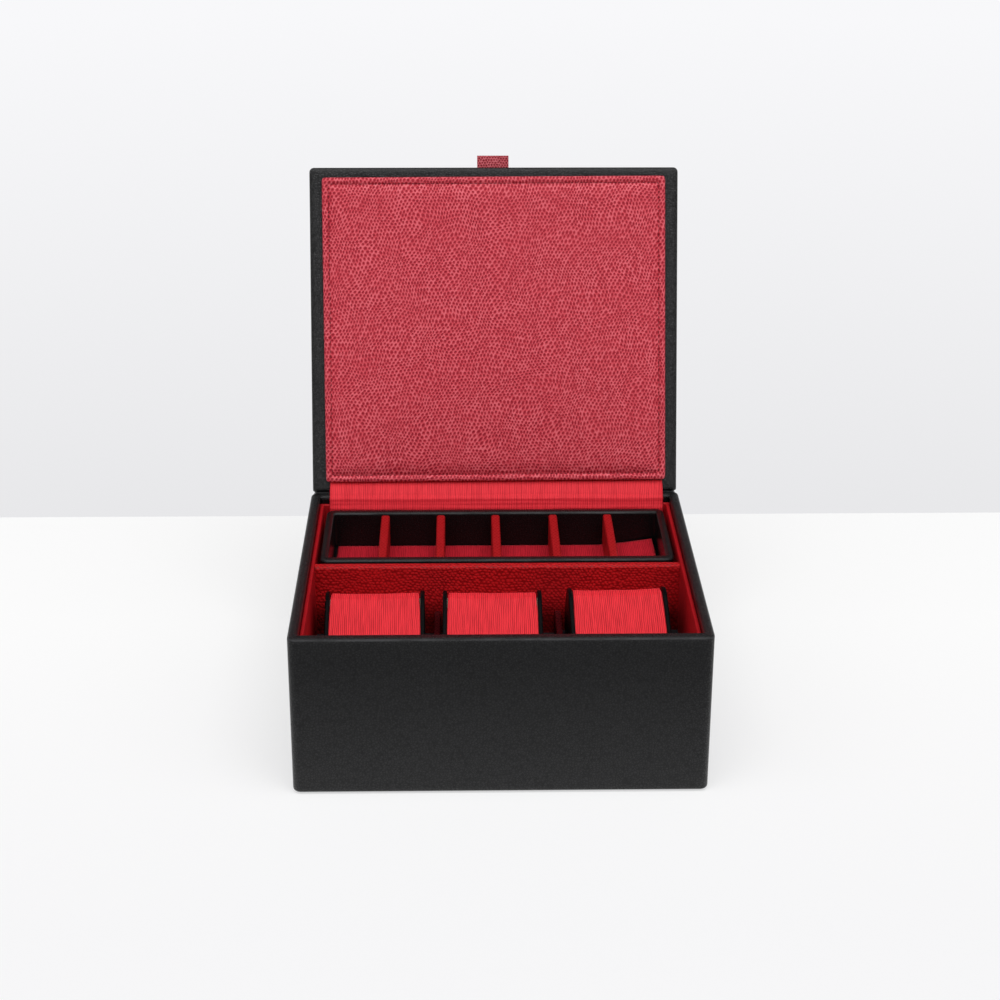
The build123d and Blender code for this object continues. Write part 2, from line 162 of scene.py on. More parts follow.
def blackCalf(name, look):
    material, add, shader = startMaterial(name, {"IOR": 1.5})
    place = inMillimetres(add)
    sway = add("TexNoise", {"Vector": place, "Scale": 0.35, "Detail": 2.0})
    bent = add("VectorMath", {0: sway.outputs["Color"], 1: (look["sway"],) * 3, 2: place}, operation="MULTIPLY_ADD")
    pebble = add(
        "TexVoronoi", {"Vector": bent, "Scale": 1 / look["grain"], "Randomness": 0.95}, feature="DISTANCE_TO_EDGE"
    )
    dome = add("MapRange", {"Value": pebble, "From Max": look["dome"]}, interpolation_type="SMOOTHSTEP")
    flat = add("Mapping", {"Vector": place, "Scale": (0.25, 0.25, 1.0)})
    fold = add("TexNoise", {"Vector": flat, "Scale": 1 / look["wrinkle"], "Detail": 4.0, "Roughness": 0.55})
    pore = add("TexNoise", {"Vector": place, "Scale": 3.5, "Detail": 2.0})
    grainHeight = add("Math", {0: dome, 1: look["grainDepth"], 2: 0.0}, operation="MULTIPLY_ADD")
    foldHeight = add("Math", {0: fold, 1: look["wrinkleDepth"] * 4, 2: grainHeight}, operation="MULTIPLY_ADD")
    height = add("Math", {0: pore, 1: look["poreDepth"], 2: foldHeight}, operation="MULTIPLY_ADD")
    eased = add("Bevel", {"Radius": look["edgeRound"] * mm}, samples=4)
    bump = add("Bump", {"Height": height, "Distance": mm, "Normal": eased})
    patch = add("TexNoise", {"Vector": place, "Scale": 0.05, "Detail": 3.0})
    tone = add("Math", {0: dome, 1: patch}, operation="MULTIPLY")
    colour = add("Mix", {0: tone, 6: look["dark"], 7: look["light"]}, data_type="RGBA")
    rough = add("MapRange", {"Value": pore, "From": (0.3, 0.7), "To": look["shine"]})
    # the hide keeps its polish low down and is dulled by hands near the rim; along the rim's rounded edges a pale
    # band is painted on, a painted highlight
    rise = add("SeparateXYZ", {0: place})
    low, high = look["paintedLightFrom"], look["paintedLightTo"]
    above = add("MapRange", {"Value": rise.outputs[2], "From": (low, low + 0.4)})
    below = add(
        "MapRange", {"Value": rise.outputs[2], "From": (high - 0.5, high), "To": (look["paintedLightShare"], 0.0)}
    )
    band = add("Math", {0: above, 1: below}, operation="MULTIPLY")
    uneven = add("MapRange", {"Value": fold, "From": (0.3, 0.6)})
    paintedRimLight = add("Math", {0: band, 1: uneven}, operation="MULTIPLY")
    colour = add("Mix", {0: paintedRimLight, 6: colour, 7: look["paintedLight"]}, data_type="RGBA")
    polish = add("MapRange", {"Value": rise.outputs[2], "From Max": look["dulledAt"], "To": look["polish"]})
    crest = add("MapRange", {"Value": dome, "To": look["crest"]})
    lustre = add("Math", {0: polish, 1: crest}, operation="MULTIPLY")
    feed(shader, {"Base Color": colour, "Roughness": rough, "Specular IOR Level": lustre, "Normal": bump})
    return material


# Goatskin pressed with a lizard grain: pale ridges in a leaning net round small dark pits, in offset rows
lizard = {
    # crest is the colour painted where the ridges meet, a painted highlight
    "crest": "#e26b76",
    "ridge": "#c93b48",
    "deep": "#98152a",
    "paintedLight": (1.4, 2.0),  # how far from a pit's middle the painted highlight on the crests starts, and is full
    "pitch": (1.9, 1.9),  # mm between pits in a row, and between rows
    "pit": (0.5, 0.76),  # mm, half width and half height of a pit
    "lean": 12.0,  # degrees
    "stray": 0.24,  # how far pits stray from their rows, as a share of the pitch
    "openings": (0.72, 1.15),  # the smallest and the widest pit, as a share of its own size
    "rise": (0.35, 1.45),  # where the ridge starts and ends, from the middle of a pit
    "wander": 6.0,  # mm that the rows bend from straight
    "fades": (0.8, 1.0),  # how clear the grain is, from place to place
    "depth": 0.32,
    "shine": (0.45, 0.62),  # roughness of the ridges, and of the pits
    "lustre": 0.25,
}


def lizardCalf(name, look, clothMap=None):
    material, add, shader = startMaterial(name, {"Specular IOR Level": look["lustre"], "IOR": 1.5})
    place = inMillimetres(add, clothMap)
    if clothMap:
        sheet = place
    else:
        # folded over an edge, the hide runs on from the face to the top
        split = add("SeparateXYZ", {0: place})
        over = add("Math", {0: split.outputs[1], 1: split.outputs[2]}, operation="ADD")
        sheet = add("CombineXYZ", {0: split.outputs[0], 1: over})
    drift = add("TexNoise", {"Vector": sheet, "Scale": 0.045, "Detail": 1.0}, noise_dimensions="2D")
    centred = add("VectorMath", {0: drift.outputs["Color"], 1: (0.5, 0.5, 0.5)}, operation="SUBTRACT")
    bent = add("VectorMath", {0: centred, 1: (look["wander"],) * 3, 2: sheet}, operation="MULTIPLY_ADD")
    # a grid turned by 45 degrees gives rows that are offset by half a step
    rows = {"Scale": (1 / look["pitch"][0], 0.5 / look["pitch"][1], 1), "Rotation": (0, 0, math.radians(45))}
    squared = add("Mapping", {"Vector": bent, **rows})
    pits = add(
        "TexVoronoi",
        {"Vector": squared, "Scale": math.sqrt(2), "Randomness": look["stray"]},
        voronoi_dimensions="2D",
    )
    # how far from the middle of the nearest pit, as a share of that pit's own width and height
    away = add("VectorMath", {0: squared, 1: pits.outputs["Position"]}, operation="SUBTRACT")
    real = add("Mapping", {"Vector": away, **rows}, vector_type="TEXTURE")
    leaned = add("Mapping", {"Vector": real, "Rotation": (0, 0, math.radians(look["lean"]))})
    shaped = add("VectorMath", {0: leaned, 1: (1 / look["pit"][0], 1 / look["pit"][1], 0)}, operation="MULTIPLY")
    reach = add("VectorMath", {0: shaped}, operation="LENGTH")
    # some pits are wide and deep, some nearly closed
    size = add("SeparateColor", {0: pits.outputs["Color"]})
    opening = add("MapRange", {"Value": size, "To": look["openings"]})
    near = add("Math", {0: reach, 1: opening}, operation="DIVIDE")
    ridge = add("MapRange", {"Value": near, "From": look["rise"]}, interpolation_type="SMOOTHSTEP")
    blotch = add("TexNoise", {"Vector": sheet, "Scale": 0.05, "Detail": 2.0}, noise_dimensions="2D")
    clear = add("MapRange", {"Value": blotch, "From": (0.35, 0.6), "To": look["fades"]})
    tone = add("Mix", {0: clear, 2: 0.8, 3: ridge})
    dyed = add("Mix", {0: tone, 6: look["deep"], 7: look["ridge"]}, data_type="RGBA")
    # where the ridges meet the colour is painted towards the crest colour, a painted highlight where that is pale
    meeting = add("MapRange", {"Value": near, "From": look["paintedLight"], "To Max": 0.85})
    paintedLight = add("Math", {0: meeting, 1: clear}, operation="MULTIPLY")
    colour = add("Mix", {0: paintedLight, 6: dyed, 7: look["crest"]}, data_type="RGBA")
    if "darkBelow" in look:
        # the gaps beside the cushions are near black in the photograph, so some of that shade goes into the dye
        dark, lit = look["darkBelow"]
        depth = add("MapRange", {"Value": split.outputs[2], "From": (dark, lit), "To Min": look["darkest"]})
        grey = add("CombineXYZ", {0: depth, 1: depth, 2: depth})
        colour = add("Mix", {0: 1.0, 6: colour, 7: grey}, data_type="RGBA", blend_type="MULTIPLY")
    height = add("Math", {0: ridge, 1: look["depth"]}, operation="MULTIPLY")
    bump = add("Bump", {"Height": height, "Distance": mm})
    rough = add("MapRange", {"Value": ridge, "To Min": look["shine"][1], "To Max": look["shine"][0]})
    feed(shader, {"Base Color": colour, "Roughness": rough, "Normal": bump})
    return material


# Silk faille: a fine warp over thick weft ribs, so close lines with a soft glow between them
faille = {
    "ribPitch": 0.95,  # mm; the cloth's own ribs are about half this, drawn coarser so that they show
    "ribDepth": 0.12,
    "slub": 0.17,  # how far ribs differ in dye
    "high": "#ee3844",
    "low": "#a81220",
    "stray": 0.6,  # mm that a rib wanders from straight
    "glow": 0.08,
}


def silkFaille(name, look, clothMap=None):
    sheen = {"Sheen Weight": look["glow"], "Sheen Roughness": 0.4, "Sheen Tint": "#ff9a9a"}
    material, add, shader = startMaterial(name, {"Specular IOR Level": 0.2, "IOR": 1.45, **sheen})
    place = inMillimetres(add, clothMap)
    split = add("SeparateXYZ", {0: place})
    if clothMap:
        across, along = split.outputs[0], split.outputs[1]
    else:
        # ribs stand upright on the boards, whichever wall they line
        across = add("Math", {0: split.outputs[0], 1: split.outputs[1]}, operation="ADD")
        along = split.outputs[2]
    # the ribs are not quite straight or even
    weave = add("CombineXYZ", {0: across, 1: along})
    stretched = add("Mapping", {"Vector": weave, "Scale": (0.16, 0.07, 1.0)})
    stray = add("TexNoise", {"Vector": stretched, "Scale": 1.0, "Detail": 2.0}, noise_dimensions="2D")
    shifted = add("Math", {0: stray, 1: 2 * look["stray"], 2: across}, operation="MULTIPLY_ADD")
    turns = add("Math", {0: shifted, 1: math.pi / look["ribPitch"]}, operation="MULTIPLY")
    wave = add("Math", {0: turns}, operation="SINE")
    arch = add("Math", {0: wave}, operation="ABSOLUTE")
    rib = add("Math", {0: arch, 1: 0.8}, operation="POWER")
    # each rib has its own dye, and fades in and out along its length
    ribPlace = add("VectorMath", {0: weave, 1: (1 / look["ribPitch"], 0.09, 1)}, operation="MULTIPLY")
    streak = add("TexNoise", {"Vector": ribPlace, "Scale": 0.8, "Detail": 1.0}, noise_dimensions="2D")
    slub = add("MapRange", {"Value": streak, "From": (0.3, 0.7), "To": (-look["slub"], look["slub"])})
    threads = add("TexNoise", {"Vector": place, "Scale": 2.2, "Detail": 3.0, "Roughness": 0.6})
    body = add("Math", {0: rib, 1: 0.85, 2: slub}, operation="MULTIPLY_ADD")
    tone = add("Math", {0: threads, 1: 0.3, 2: body}, operation="MULTIPLY_ADD", use_clamp=True)
    colour = add("Mix", {0: tone, 6: look["low"], 7: look["high"]}, data_type="RGBA")
    thread = add("Math", {0: threads, 1: 0.2, 2: rib}, operation="MULTIPLY_ADD")
    height = add("Math", {0: thread, 1: look["ribDepth"]}, operation="MULTIPLY")
    bump = add("Bump", {"Height": height, "Distance": mm})
    rough = add("MapRange", {"Value": tone, "To": (0.7, 0.5)})
    feed(shader, {"Base Color": colour, "Roughness": rough, "Normal": bump})
    return material


# Medium-density fibreboard under the leather: pressed buff fibre with darker flecks
def fibreboard(name):
    material, add, shader = startMaterial(name, {"Specular IOR Level": 0.3})
    place = inMillimetres(add)
    fibre = add("TexNoise", {"Vector": place, "Scale": 1.6, "Detail": 6.0, "Roughness": 0.7})
    fleck = add("TexVoronoi", {"Vector": place, "Scale": 0.7})
    spread = add("MapRange", {"Value": fleck, "From Max": 0.35})
    tone = add("Math", {0: fibre, 1: spread}, operation="MULTIPLY")
    colour = add("Mix", {0: tone, 6: "#7d5c38", 7: "#c49a68"}, data_type="RGBA")
    rough = add("MapRange", {"Value": fibre, "To": (0.7, 0.95)})
    bump = add("Bump", {"Height": fibre, "Distance": 0.1 * mm})
    feed(shader, {"Base Color": colour, "Roughness": rough, "Normal": bump})
    return material


# Split suede under the box and in the watch well: a short matt nap, brushed lighter in patches
def blackSuede(name):
    sheen = {"Sheen Weight": 0.3, "Sheen Roughness": 0.6, "Sheen Tint": "#6a6a70"}
    material, add, shader = startMaterial(name, {"Specular IOR Level": 0.15, **sheen})
    place = inMillimetres(add)
    nap = add("TexNoise", {"Vector": place, "Scale": 2.4, "Detail": 5.0, "Roughness": 0.75})
    brushed = add("TexNoise", {"Vector": place, "Scale": 0.06, "Detail": 3.0, "Distortion": 0.6})
    tone = add("Math", {0: nap, 1: brushed}, operation="MULTIPLY")
    colour = add("Mix", {0: tone, 6: "#141416", 7: "#3d3c40"}, data_type="RGBA")
    rough = add("MapRange", {"Value": nap, "To": (0.85, 1.0)})
    bump = add("Bump", {"Height": nap, "Distance": 0.18 * mm})
    feed(shader, {"Base Color": colour, "Roughness": rough, "Normal": bump})
    return material


# Cut polyether foam inside the cushions: pale, matt and full of small open cells
def cutFoam(name):
    material, add, shader = startMaterial(name, {"Specular IOR Level": 0.2})
    place = inMillimetres(add)
    cells = add("TexVoronoi", {"Vector": place, "Scale": 1.3})
    tone = add("MapRange", {"Value": cells, "From Max": 0.7})
    colour = add("Mix", {0: tone, 6: "#b3a98c", 7: "#e0d8c0"}, data_type="RGBA")
    rough = add("MapRange", {"Value": tone, "To": (0.8, 0.95)})
    bump = add("Bump", {"Height": tone, "Distance": 0.2 * mm})
    feed(shader, {"Base Color": colour, "Roughness": rough, "Normal": bump})
    return material


# the tray and the cushion ends are covered in a thinner, smoother split of the same hide
smooth = {**calf, "wrinkleDepth": 0.02, "grainDepth": 0.015}
caseCalf = blackCalf("blackCalfCase", calf)
lidCalf = blackCalf("blackCalfLid", {**calf, "polish": (0.38, 0.38), "paintedLightShare": 0.0})
trayCalf = blackCalf("blackCalfTray", {**smooth, "edgeRound": 1.6, "paintedLightFrom": 76.4, "paintedLightTo": 77.6})
endCalf = blackCalf(
    "blackCalfEnds",
    {
        **smooth,
        "edgeRound": 0.6,
        "polish": (0.05, 0.05),
        "dark": "#060607",
        "light": "#0a0a0b",
        "paintedLightShare": 0.0,
    },
)
padLizard = lizardCalf("lizardPad", lizard, clothMap="hide")
dividerLizard = lizardCalf(
    "lizardDivider",
    # here the pits stand out as beads and the ridges between them are the dark lines
    {
        **lizard,
        "crest": "#840a0f",
        "ridge": "#970b11",
        "deep": "#c6191f",
        "stray": 0.42,
        "paintedLight": (1.2, 1.8),
        "pitch": (2.1, 1.55),
        "pit": (0.95, 0.66),
        "wander": 4.0,
        "depth": -0.15,
        "lustre": 0.16,
        "darkBelow": (48.0, 60.0),  # mm above the table, fully dark and not yet dark
        "darkest": 0.35,
    },
)
# the partitions get a much darker copy of the lizard, painted shade for the deep shadow they stand in between the
# cushions
partitionLizardPaintedShade = lizardCalf(
    "lizardPartitionsPaintedShade", {**lizard, "crest": "#520c12", "ridge": "#4c0a10", "deep": "#2c0408", "lustre": 0.1}
)
cellLizard = lizardCalf(
    "lizardCells",
    {
        **lizard,
        "wander": 3.0,
        "crest": "#a2181c",
        "ridge": "#9c1418",
        "deep": "#8a0e12",
        "depth": 0.06,
        "lustre": 0.12,
    },
)
tabLizard = lizardCalf(
    "lizardTab",
    {
        **lizard,
        "wander": 3.0,
        "crest": "#c87078",
        "ridge": "#b4404a",
        "deep": "#7a1420",
        "pitch": (1.5, 1.6),
        "pit": (0.46, 0.58),
    },
)
cushionSilk = silkFaille("silkCushion", {**faille, "high": "#ee313c", "low": "#8a0b14"}, clothMap="cloth")
stripSilk = silkFaille("silkStrip", {**faille, "high": "#ea303c", "stray": 0.5}, clothMap="cloth")
trayLiningSilk = silkFaille("silkTrayLining", {**faille, "high": "#c02030", "low": "#860a18"}, clothMap="cloth")
boardSilk = {**faille, "high": "#b0121c", "low": "#84080f", "ribDepth": 0.03, "glow": 0.0}
liningSilk = silkFaille("silkLining", boardSilk)
board = fibreboard("fibreboard")
suede = blackSuede("suedeUnderside")
foam = cutFoam("cutFoam")

finishes = [
    (caseCalf, ["case_cover"]),
    (lidCalf, ["lid_cover"]),
    (trayCalf, ["tray_cover", "tray_underside", "tray_base"]),
    (board, ["base_board", "front_wall", "rear_wall", "left_wall", "right_wall", "cross_divider", "lid_board"]),
    (board, ["lid_pad_board", "tray_front", "tray_rear", "tray_left", "tray_right"]),
    (dividerLizard, ["divider_cover"]),
    (partitionLizardPaintedShade, ["watch_partition_left", "watch_partition_right"]),
    (tabLizard, ["pull_tab"]),
    (suede, ["base_cover"]),
    (suede, ["watch_floor"]),
    (liningSilk, ["front_liner", "rear_liner", "left_liner", "right_liner", "storage_floor"]),
    (liningSilk, ["tray_ledge_left", "tray_ledge_right"]),
    (cellLizard, [f"cell_divider_{n}" for n in range(1, 6)]),
]
for place in ("left", "centre", "right"):
    finishes.append((suede, [f"rest_wedge_{place}", f"rest_stop_{place}"]))
    finishes.append((endCalf, [f"cushion_{place}_end_left", f"cushion_{place}_end_right"]))
    finishes.append((foam, [f"cushion_{place}_core"]))
for material, names in finishes:
    for name in names:
        nodes[name].data.materials.clear()
        nodes[name].data.materials.append(material)
print("finishes given to the CAD nodes")


def buildPiece(name, points, faces, corners, material, clothMap):
    # corners holds each face's own map points, in metres, face by face
    mesh = bpy.data.meshes.new(name)
    mesh.from_pydata([tuple(p) for p in points], [], faces)
    layer = mesh.uv_layers.new(name=clothMap)
    layer.data.foreach_set("uv", [value for face in corners for corner in face for value in corner])
    mesh.materials.append(material)
    mesh.shade_smooth()
    return addObject(name, mesh)


def finalMesh(piece):
    # the piece's mesh with its modifiers applied
    graph = bpy.context.evaluated_depsgraph_get()
    return bpy.data.meshes.new_from_object(piece.evaluated_get(graph))


def subdivide(piece):
    rounding = piece.modifiers.new("smooth", "SUBSURF")
    rounding.levels = rounding.render_levels = 1
    made = finalMesh(piece)
    piece.modifiers.clear()
    piece.data = made


def readPoints(mesh):
    flat = np.empty(len(mesh.vertices) * 3)
    mesh.vertices.foreach_get("co", flat)
    return flat.reshape(-1, 3)


def writePoints(mesh, points):
    mesh.vertices.foreach_set("co", points.ravel())
    mesh.update()


# Air blown into a padded piece, and the cloth that holds it
air = {
    "scale": 10.0,
    "steps": 20,
    "cloth": {
        "quality": 6,
        "mass": 0.3,
        "tension_stiffness": 12.0,
        "compression_stiffness": 12.0,
        "shear_stiffness": 5.0,
        "bending_stiffness": 0.4,
        "use_pressure": True,
        "uniform_pressure_force": 4.0,
        "vertex_group_mass": "held",
    },
}


def puffUp(piece, held, reach, look):
    # air pressure on a cloth copy ten times the size; held points stay, the rest move by no more than reach
    scale = look["scale"]
    start = readPoints(piece.data)
    trial = addObject("trial", piece.data.copy())
    trial.data.vertices.foreach_set("co", (start * scale).ravel())
    group = trial.vertex_groups.new(name="held")
    for index, weight in held.items():
        group.add([index], weight, "REPLACE")
    cloth = trial.modifiers.new("cloth", "CLOTH")
    for key, value in look["cloth"].items():
        setattr(cloth.settings, key, value)
    cloth.settings.effector_weights.gravity = 0.0
    cloth.collision_settings.use_collision = False
    cloth.point_cache.frame_end = look["steps"]
    for step in range(1, look["steps"] + 1):
        scene.frame_set(step)
    graph = bpy.context.evaluated_depsgraph_get()
    moved = readPoints(trial.evaluated_get(graph).data) / scale - start
    bpy.data.objects.remove(trial)
    scene.frame_set(1)
    distance = np.maximum(np.linalg.norm(moved, axis=1, keepdims=True), 1e-9)
    moved *= reach * np.tanh(distance / reach) / distance
    writePoints(piece.data, start + moved)


# Watch cushions: a band of faille pulled round a block, fuller in the middle than at its end boards
cushion = {
    "length": 58.0,
    "thickness": 36.0,
    "radius": 12.0,
    "width": 45.4,
    "tilt": 28.0,  # degrees
    "centre": (-27.1, 46.6),
    # how far across each lies, how many degrees it is turned and how much higher it sits
    "places": {"left": (-61.9, 0.6, 0.0), "centre": (-3.1, 0.0, 0.0), "right": (60.2, 1.6, 1.3)},
    "around": 168,
    "across": 46,
    "startInset": 0.75,  # mm inside the full shape before the air goes in
    "endTuck": 0.35,
    "tuckReach": 2.5,
    "swell": 0.8,
    "creaseDepth": 0.18,
    "creaseWidth": 0.07,
    "unevenness": 0.25,
}


def roundedOutline(length, thickness, radius, count):
    # evenly spaced points round a rounded block's side, from the middle of its underside
    flatT, flatN, bend = length - 2 * radius, thickness - 2 * radius, math.pi * radius / 2
    runs = [flatT / 2, bend, flatN, bend, flatT, bend, flatN, bend, flatT / 2]
    total = sum(runs)
    outline = []
    for i in range(count):
        left = total * i / count
        at = 0
        while left > runs[at]:
            left -= runs[at]
            at += 1
        straight = {
            0: (left, -thickness / 2),
            2: (length / 2, left - flatN / 2),
            4: (flatT / 2 - left, thickness / 2),
            6: (-length / 2, flatN / 2 - left),
            8: (left - flatT / 2, -thickness / 2),
        }
        turn = math.radians(90 * (at // 2 - 1) + math.degrees(left / radius))
        middleT = flatT / 2 if at in (1, 3) else -flatT / 2
        middleN = -flatN / 2 if at in (1, 7) else flatN / 2
        bent = (middleT + radius * math.cos(turn), middleN + radius * math.sin(turn))
        outline.append(straight.get(at, bent))
    return outline, total


def makeCushion(place, sizes, seed):
    cushionX, yaw, rise = sizes["places"][place]
    turn, tilt = math.radians(yaw), math.radians(sizes["tilt"])
    across = Vector((math.cos(turn), math.sin(turn), 0))
    upSlope = Vector((-math.sin(turn) * math.cos(tilt), math.cos(turn) * math.cos(tilt), math.sin(tilt)))
    outward = across.cross(upSlope)
    middle = Vector((cushionX, sizes["centre"][0], sizes["centre"][1] + rise))
    around, steps, half = sizes["around"], sizes["across"], sizes["width"] / 2
    points = []
    for j in range(steps + 1):
        a = -half + sizes["width"] * j / steps
        nearEnd = max(0, (abs(a) - half + sizes["tuckReach"]) / sizes["tuckReach"])
        inset = sizes["startInset"] + sizes["endTuck"] * nearEnd**2
        outline, total = roundedOutline(
            sizes["length"] - 2 * inset, sizes["thickness"] - 2 * inset, sizes["radius"] - inset, around
        )
        for t, n in outline:
            points.append((middle + a * across + t * upSlope + n * outward) * mm)
    faces, corners = [], []
    for j in range(steps):
        for i in range(around):
            k = (i + 1) % around
            faces.append((j * around + i, (j + 1) * around + i, (j + 1) * around + k, j * around + k))
            u0, u1 = sizes["width"] * (j / steps) * mm, sizes["width"] * ((j + 1) / steps) * mm
            v0, v1 = total * i / around * mm, total * (i + 1) / around * mm
            corners.append([(u0, v0), (u1, v0), (u1, v1), (u0, v1)])
    # each end is closed with rungs from one long side to the other
    for ring in (0, steps):
        edge = [ring * around + i for i in range(around)]
        rungs = [(edge[0], edge[1], edge[-1])]
        rungs += [(edge[i], edge[i + 1], edge[-i - 1], edge[-i]) for i in range(1, around // 2 - 1)]
        rungs.append((edge[around // 2 - 1], edge[around // 2], edge[around // 2 + 1]))
        for rung in rungs:
            faces.append(rung if ring == 0 else tuple(reversed(rung)))
            corners.append([(points[index].x, points[index].z) for index in faces[-1]])
    piece = buildPiece(f"watchCushionSleeve_{place}", points, faces, corners, cushionSilk, "cloth")
    held = {i: 1.0 for i in list(range(around)) + list(range(steps * around, len(points)))}
    puffUp(piece, held, sizes["swell"] * mm, air)
    subdivide(piece)
    # slack creases that run with the ribs, deepest near the end boards
    where = readPoints(piece.data)
    normals = np.empty(len(piece.data.vertices) * 3)
    piece.data.vertices.foreach_get("normal", normals)
    normals = normals.reshape(-1, 3)
    for i, (spot, normal) in enumerate(zip(where, normals)):
        local = Vector(spot) / mm - middle
        a, t, n = local.dot(across), local.dot(upSlope), local.dot(outward)
        if half - abs(a) < 0.2:
            continue
        line = noise.noise(Vector((a * 0.22 + 0.02 * t, t * 0.02, n * 0.02 + seed)))
        fold = math.exp(-((line / sizes["creaseWidth"]) ** 2)) * (0.35 + 0.65 * (abs(a) / half) ** 2)
        swell = sizes["unevenness"] * noise.noise(Vector((a * 0.07, t * 0.05, seed + 5.0)))
        where[i] = spot + normal * (-sizes["creaseDepth"] * fold + swell) * mm
    writePoints(piece.data, where)
    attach(piece, f"cushion_{place}")
    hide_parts(f"cushion_{place}_sleeve")


for seed, place in enumerate(cushion["places"]):
    makeCushion(place, cushion, seed * 7.3)
    print("watch cushion", place, "made")

# The lid's own directions: across, up from the hinge, and out towards the pad
lidPlace = {"hinge": (88.75, 83.65), "lean": 17.8}


def onLid(x, y, z):
    lean = math.radians(lidPlace["lean"])
    hingeY, hingeZ = lidPlace["hinge"]
    return Vector(
        (
            x,
            hingeY + y * math.sin(lean) - z * math.cos(lean),
            hingeZ + y * math.cos(lean) + z * math.sin(lean),
        )
    )


# Lid pad: lizard-grain leather over thin foam, turned round its board and sewn down in a line near the edge
pad = {
    "middle": 0.2,
    "turn": 0.25,  # degrees that the pad was set down out of square
    "halfWidth": 92.9,
    "low": 6.0,
    "high": 171.0,
    "back": -0.15,
    "clear": 0.02,  # mm that the leather stays off the board
    "edgeTop": 3.1,
    "round": 1.2,
    "cornerRadius": 0.8,
    "seam": 3.6,  # mm from the edge to the sewn line
    "seamWidth": 0.75,
    "seamDepth": 0.95,
    "rollRise": 0.25,
    "crown": 0.45,
    "swell": 0.5,
    "pucker": 0.13,  # mm that the leather rises between stitches
    "lumps": (0.12, 0.10),  # mm, over the whole pad and along the seam
    "seamReach": 1.1,
    "band": 7.0,  # mm of rings round the edge; inside them is a plain grid
    "spacing": 1.95,
    "stitchPitch": 2.6,
    "stitchLength": 1.9,
    "stitchThickness": 0.42,
}


def onPad(x, y, z, look):
    turn = math.radians(look["turn"])
    across = look["middle"] + x * math.cos(turn) - y * math.sin(turn)
    return onLid(across, (look["low"] + look["high"]) / 2 + x * math.sin(turn) + y * math.cos(turn), z)


def padHeight(inset, look):
    # height of the pad's face over the lid at a distance in from the edge
    if inset < look["round"]:
        slide = look["round"] - inset
        edge = look["edgeTop"] - look["round"] + math.sqrt(max(look["round"] ** 2 - slide**2, 0))
    else:
        edge = look["edgeTop"]
    roll = look["rollRise"] * math.sin(math.pi * min(inset / look["seam"], 1.0))
    seam = look["seamDepth"] * math.exp(-(((inset - look["seam"]) / look["seamWidth"]) ** 2))
    rise = look["crown"] * (1 - math.exp(-max(inset - look["seam"], 0) / 4.0))
    return edge + roll - seam + rise


